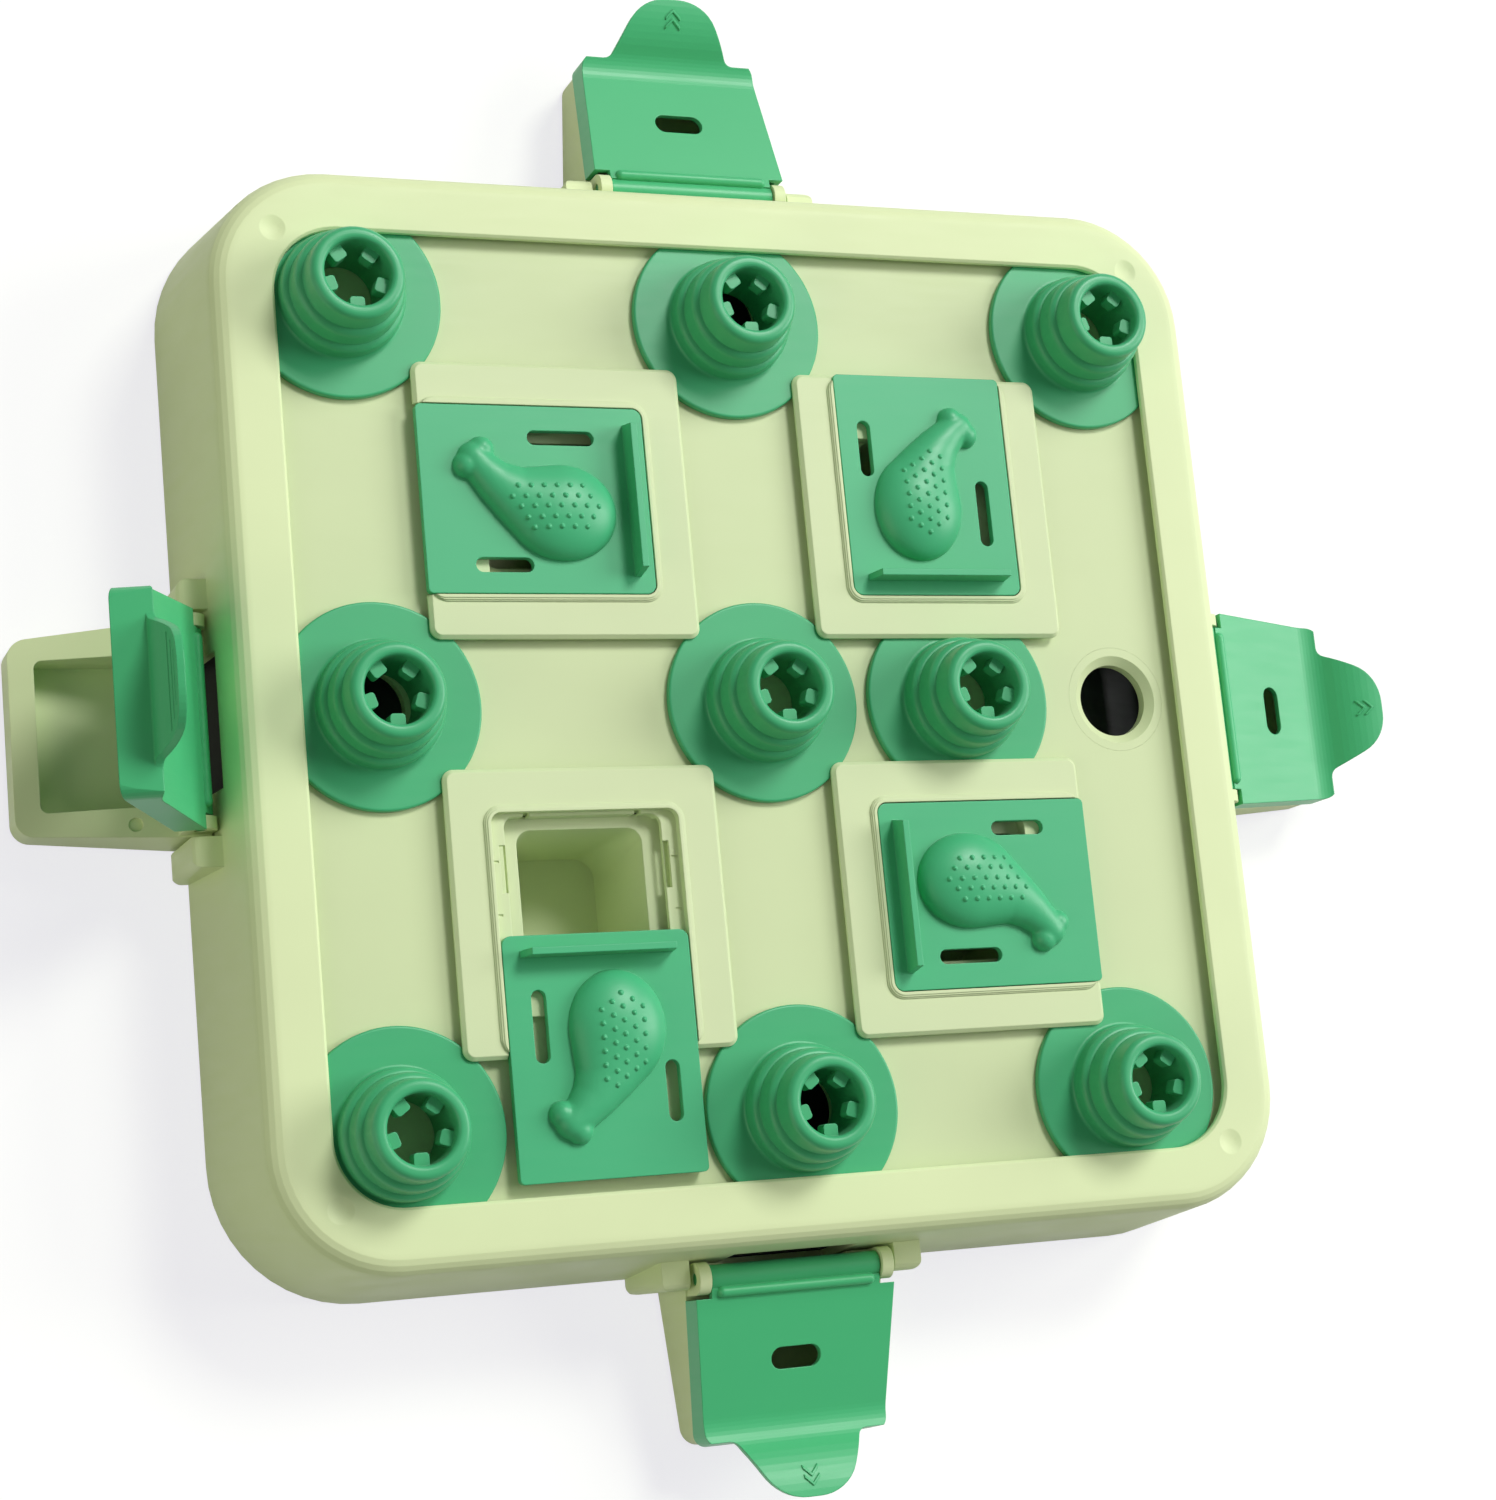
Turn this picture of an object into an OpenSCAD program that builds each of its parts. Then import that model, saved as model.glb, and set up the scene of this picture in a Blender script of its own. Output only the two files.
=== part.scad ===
// Dog puzzle feeder toy: a square board whose nine sliding knobs and four
// sliding plates hide treats, with a flip-lid tray at the middle of each side.
// Millimetres. The origin is the middle of the flat underside, +Z is up.
// +Y is north and +X is east in the names of the pieces.

/* [Board] */
// Width of the board at its foot
board_w = 300; // [294:1:320]
// Height of the deck above the ground
deck_h = 43; // [41:0.5:50]
// How far each side wall leans in from its foot to the rim
wall_lean = 4.9; // [3:0.1:6]
// Thickness of the side walls
wall = 2.6; // [2:0.1:3]
// Corner radius of the board at its foot
corner_r = 38; // [34:1:44]
// Thickness of the deck plate
deck_t = 2.5; // [2:0.1:3.5]
// Thickness of the rim's inner lip
lip_t = 1.9; // [1.4:0.1:2.6]
// Radius of the rim's soft outer edge
rim_round = 6; // [3:0.5:7]
// Corner radius of the open well inside the rim
well_r = 18; // [12:1:19]
// Thickness of the bottom pan's floor
pan_t = 2.6; // [2:0.1:3.5]
// Radius of the shallow dimples on the rim's corners
dimple_r = 3.5; // [2:0.1:5]

/* [Knobs] */
// Distance between neighbouring knob places
knob_pitch = 110; // [108:0.5:112]
// Radius of the flat flange that slides under the frames
flange_r = 27.6; // [26:0.1:28.2]
// Thickness of the flange
flange_t = 1.9; // [1.5:0.1:2.4]
// Radius of the collar at its foot
collar_r = 16.8; // [16:0.1:17.4]
// Height of the knob above its flange's underside
knob_h = 21.4; // [18:0.2:26]
// Radius of the hole through the knob
knob_bore_r = 8.9; // [8:0.1:9.6]
// Number of teeth in the hole
teeth = 5; // [3:1:7]
// How far a tooth stands into the hole
tooth_reach = 3.4; // [2:0.1:3.8]

/* [Sliding plates] */
// Thickness of a plate
plate_t = 2.2; // [1.8:0.1:2.8]
// Height of the finger rib above a plate
rib_h = 6.5; // [4:0.5:8]
// Height of the drumstick relief above a plate
drum_h = 7; // [5:0.5:9]
// Width of the long slots through a plate
slot_w = 4; // [3:0.2:5]

/* [Pocket frames] */
// Thickness of a frame's raised top
frame_t = 1.6; // [1.4:0.1:2]
// Wall thickness of the bowls
bowl_wall = 1.5; // [1.2:0.1:2]
// Width of a bowl's mouth across the plate's travel
bowl_w = 35; // [30:1:38]
// Height of a bowl's floor above the ground
bowl_floor = 10; // [6:0.5:16]

/* [Trays and lids] */
// Distance of the lid hinge from the middle of the board
hinge_out = 151.8; // [151.6:0.1:153]
// Height of the lid hinge above the ground
hinge_h = 27; // [26.6:0.1:28]
// Width of a tray where it meets the board
tray_w = 58; // [56:0.5:59]
// Width of a tray at its outer end
tray_end_w = 52; // [48:0.5:54]
// Distance of a tray's outer end from the middle of the board
tray_out = 195.6; // [192:0.5:198]
// Slope of the tray's rim and of the lid, degrees
lid_slope = 15; // [13:0.2:16]
// Width of the tray's rim
tray_rim = 6.4; // [5:0.2:7.5]
// Height of the lid above the tray's rim
lid_depth = 8.3; // [7.4:0.1:9]
// Thickness of the lid's panel and of its skirts
lid_t = 1.9; // [1.5:0.1:2.2]
// Radius of the hinge pins
pin_r = 1.6; // [1.3:0.1:2]
// Distance of the tongue's tip from the middle of the board
tongue_out = 210.8; // [208:0.2:212]

/* [Rest positions] */
// How far the south-west plate is slid open
sw_plate_open = 32; // [0:0.5:33]
// How far the west lid is open, degrees
west_lid_open = 75; // [0:1:110]
// How far the east knob is slid towards the middle
east_knob_in = 51; // [0:0.5:52]
// How far the south-east knob is slid towards the west
southeast_knob_in = 12; // [0:0.5:50]

/* [Hidden] */
$fn = 64;

// Colours
rim_green = "#DDE9B4";
deck_green = "#D3E2AF";
frame_green = "#D9E6B9";
knob_green = "#3DAA72";
lid_green = "#46B67D";
inner_grey = "#2B2E30";
pad_grey = "#5C6266";
steel = "#B8BCC0";

// Small amount that keeps cuts clear of the faces they start from
eps = 0.01;
// Running gap between pieces that slide on each other
slide_gap = 0.25;
// Gap between pieces that are fitted together and don't move
fit_gap = 0.3;
// Radial gap of the hinge pins
pin_gap = 0.05;

// Heights
flange_z = deck_h + slide_gap;
frame_z = flange_z + flange_t + slide_gap;
frame_top = frame_z + frame_t;
plate_z = frame_z;
rim_top = frame_z + 0.1 + lip_t;
lip_z = rim_top - lip_t;
pan_top = pan_t;

// Plan sizes
board_half = board_w / 2;
corner_c = board_half - corner_r;
collar_play = 0.5;
channel_half = collar_r + collar_play;
well_half = knob_pitch + channel_half + 0.7;
flange_play = 0.4;
tub_near = flange_r + flange_play;
tub_far = knob_pitch - tub_near;
tub_w = tub_far - tub_near;
tub_wall = 1;
frame_near = channel_half;
frame_far = knob_pitch - channel_half;
frame_w = frame_far - frame_near;
plate_w = tub_w - 2 * tub_wall - 2 * fit_gap;
plate_len = frame_far - tub_near - tub_wall - fit_gap;
quarter = (tub_near + tub_far) / 2;

// Half width of the board's outside at height z
function out_half(z) = board_half - wall_lean * z / rim_top;
// Half width of the board's inside at height z
function in_half(z) = out_half(z) - wall;
// Points of an arc about c, from angle a to angle b
function arc(c, r, a, b, n) = [for (i = [0 : n]) let (t = a + (b - a) * i / n) c + r * [cos(t), sin(t)]];

// Turns the children to each of the four sides in turn: 0 north, 1 east, 2 south, 3 west
module side(i) {
    rotate(-90 * i) children();
}

// ---------------------------------------------------------------- board

// Square of half width h with round corners
module round_square(h, r) {
    difference() {
        square(2 * h, center = true);
        for (i = [0 : 3]) {
            rotate(90 * i) translate([h - r, h - r]) difference() {
                square(r + 1);
                circle(r);
            }
        }
    }
}

module round_plate(h, r, t) {
    linear_extrude(t) round_square(h, r);
}

// Four turned corner posts of one profile, with the hull of them all
module corner_hull(profile) {
    hull() {
        for (x = [-1, 1], y = [-1, 1]) {
            translate([x * corner_c, y * corner_c]) rotate_extrude($fn = 48) polygon(profile);
        }
    }
}

// Half section of the board's outside, measured from a corner's middle
outside_profile = concat(
    [[0, 0], [out_half(0) - corner_c, 0]],
    arc([out_half(rim_top) - corner_c - rim_round, rim_top - rim_round], rim_round, -6, 90, 6),
    [[0, rim_top]]
);
inside_profile = [
    [0, -1],
    [in_half(-1) - corner_c, -1],
    [in_half(lip_z) - corner_c, lip_z],
    [0, lip_z]
];

// Screw posts inside the walls
boss_r = 4.2;
boss_in = 9.5;
boss_side = 72;
boss_place = board_half - boss_in - wall;
screw_bore_r = 1.3;
screw_depth = 12;
boss_top = deck_h - deck_t;

module at_bosses() {
    for (i = [0 : 3], s = [-1, 1]) {
        side(i) translate([s * boss_side, boss_place]) children();
    }
}

module screw_boss() {
    web_t = 2;
    difference() {
        union() {
            translate([0, 0, pan_top]) cylinder(r = boss_r, h = boss_top - pan_top);
            rotate([90, 0, 90]) translate([0, 0, -web_t / 2]) linear_extrude(web_t) polygon([
                [0, pan_top],
                [in_half(pan_top) - boss_place + wall / 2, pan_top],
                [in_half(boss_top) - boss_place + wall / 2, boss_top],
                [0, boss_top]
            ]);
        }
        translate([0, 0, pan_top - 1]) cylinder(r = screw_bore_r, h = screw_depth + 1);
    }
}

// Openings in the side walls, through which treats roll out to the trays
window_half = 18;
window_z = 6.5;
window_top = 31.5;

// Upright ears that hold a tray between them
ear_gap = 0.8;
ear_in = tray_w / 2 + ear_gap;
ear_w = 8;
ear_out = hinge_out + 2.6;
ear_top = hinge_h + 1.4;
ear_round = 2.6;

module ear() {
    difference() {
        translate([ear_in, 0, 0]) rotate([90, 0, 90]) linear_extrude(ear_w) polygon(concat(
            [[out_half(0) - wall / 2, 0], [ear_out - 0.3, 0], [ear_out, 3]],
            arc([ear_out - ear_round, ear_top - ear_round], ear_round, 0, 90, 4),
            [[out_half(ear_top) - wall / 2, ear_top]]
        ));
        translate([ear_in + ear_w - ear_round, ear_out - ear_round, -1]) difference() {
            cube([ear_round + 1, ear_round + 1, ear_top + 2]);
            translate([0, 0, -1]) cylinder(r = ear_round, h = ear_top + 4);
        }
    }
}

// The deck plate fits inside the walls, and a step under the rim's lip holds it down
step_w = 2.6;
deck_half = in_half(lip_z) - fit_gap;
deck_r = deck_half - corner_c;

module rim_shell() {
    dimple_at = well_half - 0.5;
    dimple_depth = 0.6;
    dimple_ball = (dimple_r * dimple_r + dimple_depth * dimple_depth) / (2 * dimple_depth);
    lip_chamfer = 0.7;
    color(rim_green) difference() {
        union() {
            difference() {
                corner_hull(outside_profile);
                corner_hull(inside_profile);
                translate([0, 0, lip_z - 1]) round_plate(well_half, well_r, lip_t + 2);
                hull() {
                    translate([0, 0, rim_top - lip_chamfer]) round_plate(well_half, well_r, eps);
                    translate([0, 0, rim_top]) round_plate(well_half + lip_chamfer, well_r + lip_chamfer, 1);
                }
            }
            translate([0, 0, deck_h]) difference() {
                round_plate(in_half(deck_h) + eps, in_half(deck_h) + eps - corner_c, lip_z + eps - deck_h);
                translate([0, 0, -1]) round_plate(deck_half - step_w, deck_r - step_w, lip_t + 10);
            }
            at_bosses() screw_boss();
            for (i = [0 : 3]) {
                side(i) ear();
                side(i) mirror([1, 0, 0]) ear();
            }
        }
        for (x = [-1, 1], y = [-1, 1]) {
            translate([x * dimple_at, y * dimple_at, rim_top - dimple_depth + dimple_ball]) sphere(dimple_ball);
        }
        for (i = [0 : 3]) {
            side(i) translate([-window_half, out_half(0) - wall - 8, window_z]) {
                cube([2 * window_half, wall + 12, window_top - window_z]);
            }
        }
    }
}

// Round holes in the deck under the knobs' outer places, in collars pressed in flush
drop_r = 10.3;
drop_bevel = 1.8;
drop_spread = 1.3;
collar_out = 15;
collar_drop = 2.2;
seam = 0.05;

module deck_plate() {
    opening_half = tub_w / 2 - tub_wall;
    color(deck_green) difference() {
        translate([0, 0, deck_h - deck_t]) round_plate(deck_half, deck_r, deck_t);
        for (i = [0 : 3]) {
            side(i) translate([0, knob_pitch, deck_h - deck_t - 1]) {
                cylinder(r = collar_out + seam, h = deck_t + 2);
            }
            side(i) translate([quarter, quarter, deck_h - deck_t - 1]) round_plate(opening_half, 2, deck_t + 2);
        }
    }
}

// Collar of a drop hole, which reaches down into the chute's mouth
module drop_collar(i) {
    color(deck_green) side(i) translate([0, knob_pitch, 0]) rotate_extrude() polygon([
        [drop_r, deck_h - deck_t - collar_drop],
        [drop_r + 2, deck_h - deck_t - collar_drop],
        [drop_r + 3, deck_h - deck_t],
        [collar_out, deck_h - deck_t],
        [collar_out, deck_h],
        [drop_r + drop_spread * drop_bevel, deck_h],
        [drop_r, deck_h - drop_bevel]
    ]);
}

// Chutes: open troughs that stand on the pan, with a ramp from under each drop hole
// out to the wall's window
chute_half = 19;
chute_wall = 2;
chute_back = knob_pitch - drop_r - 6;
chute_foot = pan_top - fit_gap;
chute_top = deck_h - deck_t - fit_gap;
ramp_low = window_z - 0.5;
ramp_high = 33;
ramp_back = chute_back + chute_wall;

module chute(i) {
    color(inner_grey) side(i) difference() {
        translate([-chute_half - chute_wall, 0, 0]) rotate([90, 0, 90]) {
            linear_extrude(2 * (chute_half + chute_wall)) polygon([
                [chute_back, chute_foot],
                [in_half(chute_foot) - fit_gap, chute_foot],
                [in_half(chute_top) - fit_gap, chute_top],
                [chute_back, chute_top]
            ]);
        }
        translate([-chute_half, 0, 0]) rotate([90, 0, 90]) linear_extrude(2 * chute_half) {
            polygon([
                [ramp_back, ramp_high],
                [board_half, ramp_low],
                [board_half, chute_top + 5],
                [ramp_back, chute_top + 5]
            ]);
            polygon([
                [ramp_back, chute_foot - 1],
                [board_half, chute_foot - 1],
                [board_half, ramp_low - chute_wall],
                [ramp_back, ramp_high - chute_wall]
            ]);
        }
    }
}

pad_r = 9;
pad_t = 1.3;
pad_place = 112;
head_r = 3;
head_t = 1.6;
shank_r = 1.2;

module bottom_pan() {
    rib_t = 1.6;
    rib_rise = 5;
    rib_half = chute_back - 4;
    rib_places = [for (k = [-3 : 2 : 3]) 0.3 * k * rib_half];
    pan_half = in_half(pan_top) - fit_gap;
    color(inner_grey) difference() {
        union() {
            round_plate(pan_half, pan_half - corner_c, pan_top - fit_gap);
            for (p = rib_places) {
                translate([-rib_half, p - rib_t / 2, pan_top - 1]) cube([2 * rib_half, rib_t, rib_rise]);
                translate([p - rib_t / 2, -rib_half, pan_top - 1]) cube([rib_t, 2 * rib_half, rib_rise]);
            }
        }
        for (x = [-1, 1], y = [-1, 1]) {
            translate([x * pad_place, y * pad_place, -1]) cylinder(r = pad_r + 0.2, h = pad_t + 1);
        }
        at_bosses() {
            translate([0, 0, -1]) cylinder(r = shank_r + 0.4, h = pan_top + 2);
            translate([0, 0, -1]) cylinder(r = head_r + 0.3, h = head_t + 1);
        }
    }
}

module foot_pad(x, y) {
    color(pad_grey) translate([x * pad_place, y * pad_place, 0]) cylinder(r = pad_r, h = pad_t);
}

module pan_screws() {
    sunk = 0.3;
    drive_r = 1.6;
    drive_depth = 0.6;
    shank_end = pan_top + screw_depth - 3;
    color(steel) at_bosses() difference() {
        union() {
            translate([0, 0, sunk]) cylinder(r = head_r, h = head_t - sunk);
            translate([0, 0, head_t - eps]) cylinder(r = shank_r, h = shank_end - head_t);
        }
        translate([0, 0, sunk - 1]) cylinder(r = drive_r, h = 1 + drive_depth, $fn = 6);
    }
}

// ---------------------------------------------------------------- knobs

// Half section of a knob from its flange's underside up: a flat flange, then three
// tiers with round shoulders, the widest at the foot
tier_z = [7.7, 14.2];
tier_r = [collar_r, collar_r - 1.9, collar_r - 4.1];
knob_profile = concat(
    [[knob_bore_r, 0], [flange_r, 0]],
    arc([flange_r - 0.6, flange_t - 0.6], 0.6, 0, 90, 3),
    arc([tier_r[0] + 0.9, flange_t + 0.9], 0.9, -90, -180, 3),
    arc([tier_r[0] - 1.9, tier_z[0] - 1.9], 1.9, 0, 84, 5),
    arc([tier_r[1] - 2, tier_z[1] - 2], 2, 0, 84, 5),
    arc([tier_r[2] - 1.9, knob_h - 1.9], 1.9, 0, 90, 6),
    arc([knob_bore_r + 1.3, knob_h - 1.3], 1.3, 90, 180, 4)
);

tooth_w = 4;
tooth_h = 4;
tooth_drop = 3.6;

// Plan of a tooth with round corners, on the bore's +X side
module tooth_plan() {
    corner = 0.9;
    tip = knob_bore_r - tooth_reach;
    for (s = [-1, 1]) {
        translate([tip + corner, s * (tooth_w / 2 - corner)]) circle(corner, $fn = 24);
    }
    translate([tip + corner, -tooth_w / 2]) square([tooth_reach, tooth_w]);
    translate([tip, -tooth_w / 2 + corner]) square([tooth_reach, tooth_w - 2 * corner]);
}

module knob() {
    color(knob_green) translate([0, 0, flange_z]) {
        rotate_extrude() polygon(knob_profile);
        for (i = [0 : teeth - 1]) {
            rotate(270 + 360 * i / teeth) translate([0, 0, knob_h - tooth_drop - tooth_h]) {
                linear_extrude(tooth_h) tooth_plan();
            }
        }
    }
}

// Where each knob stands at rest
slack = 2.4;
module knob_nw() { translate([-knob_pitch, knob_pitch]) knob(); }
module knob_n() { translate([0, knob_pitch - slack]) knob(); }
module knob_ne() { translate([knob_pitch, knob_pitch - slack]) knob(); }
module knob_w() { translate([-knob_pitch + slack, 0]) knob(); }
module knob_centre() { knob(); }
module knob_e() { translate([knob_pitch - east_knob_in, 0]) knob(); }
module knob_sw() { translate([-knob_pitch, -knob_pitch]) knob(); }
module knob_s() { translate([0, -knob_pitch]) knob(); }
module knob_se() { translate([knob_pitch - southeast_knob_in, -knob_pitch]) knob(); }

// ---------------------------------------------------------------- pocket frames

// The frames and plates are drawn for the north-east quarter, where the plate slides
// north. Across the travel u runs from the middle, and along it v runs north.
pocket_half = tub_w / 2 - tub_wall;
ledge_inner = pocket_half - 4.2;
ledge_t = 1.6;
ledge_z = plate_z - slide_gap;
groove_z = ledge_z - ledge_t - 2.3;
skirt_half = pocket_half - fit_gap;
skirt_t = 1;
bowl_near = 3.6;
bowl_len = 42;
ledge_v = 0.6;
ledge_end = bowl_near + bowl_len;
ledge_r = 3;

// Rectangle about u = 0, from v0 to v1, with round corners
module pocket_rect(half, v0, v1, r) {
    for (s = [-1, 1]) {
        for (v = [v0 + r, v1 - r]) {
            translate([s * (half - r), v]) circle(r);
        }
    }
    translate([-half, v0 + r]) square([2 * half, v1 - v0 - 2 * r]);
    translate([-half + r, v0]) square([2 * half - 2 * r, v1 - v0]);
}

// v = 0 is the plate's closed edge
v_tub = -fit_gap;
v_end = plate_len;
v_tub_end = tub_far - tub_near - tub_wall - fit_gap - tub_wall;

module quarter_place() {
    translate([quarter, tub_near + tub_wall + fit_gap]) children();
}

module frame_top_plate() {
    edge = 1;
    corner = 3;
    v0 = frame_near - tub_near - tub_wall - fit_gap;
    hull() {
        translate([0, 0, frame_z]) linear_extrude(frame_t - edge) {
            pocket_rect(frame_w / 2, v0, v_end, corner);
        }
        translate([0, 0, frame_top - eps]) linear_extrude(eps) {
            pocket_rect(frame_w / 2 - edge, v0 + edge, v_end - edge, corner - edge);
        }
    }
}

module bowl_shape(grow, floor_z, top_z) {
    taper = 3;
    hull() {
        translate([0, 0, top_z - eps]) linear_extrude(eps) {
            pocket_rect(bowl_w / 2 + grow, bowl_near - grow, bowl_near + bowl_len + grow, 4 + grow);
        }
        translate([0, 0, floor_z]) linear_extrude(eps) {
            pocket_rect(bowl_w / 2 - taper + grow, bowl_near + taper - grow,
                bowl_near + bowl_len - taper + grow, 6 + grow);
        }
    }
}

module pocket_frame(i) {
    bead_steps = [[1.8, 0.3], [1.4, 0.6], [0.9, 0.8]];
    bead_back = 0.6;
    pocket_r = 3;
    inner_r = 2;
    window_len = 12.5;
    window_w = 1.6;
    skirt_end = v_tub_end - fit_gap;
    notch_u = 15.5;
    notch_w = 1.8;
    notch_deep = 0.4;
    tick_places = [12, 26];
    tick_w = 1.8;
    tick_len = 0.5;
    tick_deep = 0.3;
    tick_in = 1.2;
    window_places = [8, 32];
    window_in = 0.9;
    undercut_w = skirt_half - skirt_t - ledge_inner + 1;
    undercut_v = 1.5;
    color(frame_green) side(i) quarter_place() difference() {
        union() {
            // Raised top with a bead round the pocket
            frame_top_plate();
            for (b = bead_steps) {
                translate([0, 0, frame_top - eps]) linear_extrude(b[1]) {
                    pocket_rect(pocket_half + b[0], v_tub - b[0], v_end - bead_back, pocket_r + b[0]);
                }
            }
            // Walls that stand on the deck round its opening
            translate([0, 0, deck_h]) linear_extrude(frame_z + frame_t / 2 - deck_h) difference() {
                pocket_rect(tub_w / 2, v_tub - tub_wall, v_tub_end + tub_wall, inner_r + tub_wall);
                pocket_rect(pocket_half, v_tub, v_tub_end, inner_r);
            }
            // Side ledges that carry the plate, and the cross ledge at the open end
            translate([0, 0, deck_h]) linear_extrude(ledge_z - deck_h) difference() {
                pocket_rect(pocket_half + eps, v_tub, v_tub_end + eps, inner_r);
                pocket_rect(ledge_inner, ledge_v, ledge_end, ledge_r);
            }
            translate([0, 0, groove_z]) linear_extrude(deck_h + eps - groove_z) difference() {
                pocket_rect(skirt_half, v_tub + fit_gap, skirt_end, inner_r);
                pocket_rect(ledge_inner, ledge_v, ledge_end, ledge_r);
            }
            // Groove floor and bowl
            translate([0, 0, groove_z - skirt_t]) linear_extrude(skirt_t + eps) {
                pocket_rect(skirt_half, v_tub + fit_gap, skirt_end, inner_r);
            }
            bowl_shape(bowl_wall, bowl_floor - bowl_wall, groove_z);
        }
        translate([0, 0, ledge_z]) linear_extrude(10) {
            pocket_rect(pocket_half, v_tub, v_end + 20, pocket_r);
        }
        bowl_shape(0, bowl_floor, groove_z + 0.1);
        // Undercut beside the ledges, in which the plate's hooks run
        for (s = [-1, 1]) {
            translate([s * (ledge_inner - 1 + undercut_w / 2) - undercut_w / 2, undercut_v, groove_z]) {
                cube([undercut_w, skirt_end - 2 * undercut_v, ledge_z - ledge_t - groove_z]);
            }
            // Notches in the closed wall, over the core pins
            translate([s * notch_u - notch_w / 2, v_tub - notch_deep, groove_z]) {
                cube([notch_w, ledge_v - v_tub + notch_deep + eps, ledge_z + eps - groove_z]);
            }
            // Tick marks across the ledges
            for (v = tick_places) {
                translate([s * (pocket_half - tick_in) - tick_w / 2, v, ledge_z - tick_deep]) {
                    cube([tick_w, tick_len, tick_deep + 0.7]);
                }
            }
            // Core windows over the undercut
            for (v = window_places) {
                translate([s * (ledge_inner + window_in) - window_w / 2, v, ledge_z - ledge_t - 1]) {
                    cube([window_w, window_len, ledge_t + 2]);
                }
            }
        }
    }
}

// ---------------------------------------------------------------- sliding plates

// Drumstick relief: middle of the meat, and the bone's end
meat = [-3.7, 25];
meat_r = [13.3, 15.3];
shoulder = [0.3, 36.8];
shoulder_w = 8.6;
neck = [7, 44];
neck_r = 5;
bone_r = 3.6;
bones = [[8.6, 50.8], [13.3, 46.2]];

// Height of the meat above the plate at a point
function meat_z(p) = drum_h * sqrt(max(0, 1 - pow((p[0] - meat[0]) / meat_r[0], 2)
    - pow((p[1] - meat[1]) / meat_r[1], 2)));

module drumstick() {
    dot_r = 0.75;
    dot_step = 3.3;
    top_cut = 60;
    shoulder_h = drum_h * 0.78;
    neck_h = 4.2;
    intersection() {
        union() {
            hull() {
                translate(meat) scale([meat_r[0], meat_r[1], drum_h]) sphere(1, $fn = 40);
                translate(shoulder) scale([shoulder_w, shoulder_w, shoulder_h]) sphere(1, $fn = 24);
            }
            hull() {
                translate(shoulder) scale([shoulder_w, shoulder_w, shoulder_h]) sphere(1, $fn = 24);
                translate(neck) scale([neck_r, neck_r, neck_h]) sphere(1, $fn = 24);
            }
            hull() {
                translate(neck) scale([neck_r, neck_r, neck_h]) sphere(1, $fn = 24);
                translate((bones[0] + bones[1]) / 2) scale([3.4, 3.4, 3.6]) sphere(1, $fn = 20);
            }
            for (b = bones) {
                translate(b) sphere(bone_r);
            }
        }
        translate([-top_cut / 2, 0, 0]) cube([top_cut, top_cut, top_cut]);
    }
    // Pimples over the crown of the meat
    for (row = [-2 : 2], k = [-3 : 3]) {
        p = meat + [0.9 * row * dot_step, 1.5 + (k + (row % 2 == 0 ? 0 : 0.5)) * dot_step];
        if (norm([(p[0] - meat[0]) / 7.4, (p[1] - meat[1] - 1.5) / 11]) < 1) {
            translate([p[0], p[1], meat_z(p) - 0.15]) sphere(dot_r, $fn = 16);
        }
    }
}

module slider(i, slid) {
    rib_half = 21;
    rib_v = 4;
    rib_t = 1.8;
    rib_slant = 1.2;
    hook_places = [3, 5.9];
    hook_len = 2.6;
    leg_t = 1.2;
    leg_out = ledge_inner - fit_gap;
    foot_out = leg_out + 1.7;
    foot_t = 1.4;
    foot_z = ledge_z - ledge_t - fit_gap - foot_t;
    color(knob_green) side(i) quarter_place() translate([0, slid, 0]) {
        difference() {
            translate([0, 0, plate_z]) linear_extrude(plate_t) {
                pocket_rect(plate_w / 2, 0, v_end / 2 + 5, 2.6);
                pocket_rect(plate_w / 2, v_end / 2 - 5, v_end, 1.4);
            }
            plate_slot([17, 14.2], 18.9);
            plate_slot([-18, 34], 16);
        }
        translate([0, 0, plate_z + plate_t - eps]) {
            drumstick();
            translate([0, rib_v + rib_t, 0]) rotate([90, 0, 0]) linear_extrude(rib_t) polygon([
                [-rib_half, 0],
                [rib_half, 0],
                [rib_half - rib_slant, rib_h],
                [-rib_half + rib_slant, rib_h]
            ]);
        }
        // Hooks that grip the ledges from below
        for (s = [-1, 1], v = hook_places) {
            translate([s * (leg_out - leg_t / 2) - leg_t / 2, v, foot_z]) {
                cube([leg_t, hook_len, plate_z - foot_z + eps]);
            }
            translate([s * (leg_out + foot_out - leg_t) / 2 - (foot_out - leg_out + leg_t) / 2, v, foot_z]) {
                cube([foot_out - leg_out + leg_t, hook_len, foot_t]);
            }
        }
    }
}

// Obround slot through a plate, from its near end, along the travel
module plate_slot(p, len) {
    translate([p[0], p[1], plate_z - 1]) linear_extrude(plate_t + 2) {
        translate([0, slot_w / 2]) circle(slot_w / 2);
        translate([0, len - slot_w / 2]) circle(slot_w / 2);
        translate([-slot_w / 2, slot_w / 2]) square([slot_w, len - slot_w]);
    }
}

// ---------------------------------------------------------------- trays

// Height of the tray's rim at a distance from the board's middle
rim_at_hinge = 21.9;
function rim_h(d) = rim_at_hinge - (d - hinge_out) * tan(lid_slope);
// Half width of a tray at a distance from the board's middle
function tray_half(d) = tray_w / 2 - (tray_w - tray_end_w) / 2 * (d - hinge_out) / (tray_out - hinge_out);

tray_lift = 0.6;
tray_back = hinge_out - 5;
tray_corner = 5;
tray_floor = 2.4;
knuckle_in = 24.8;
knuckle_out = 28.2;
knuckle_r = 4.3;

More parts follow.
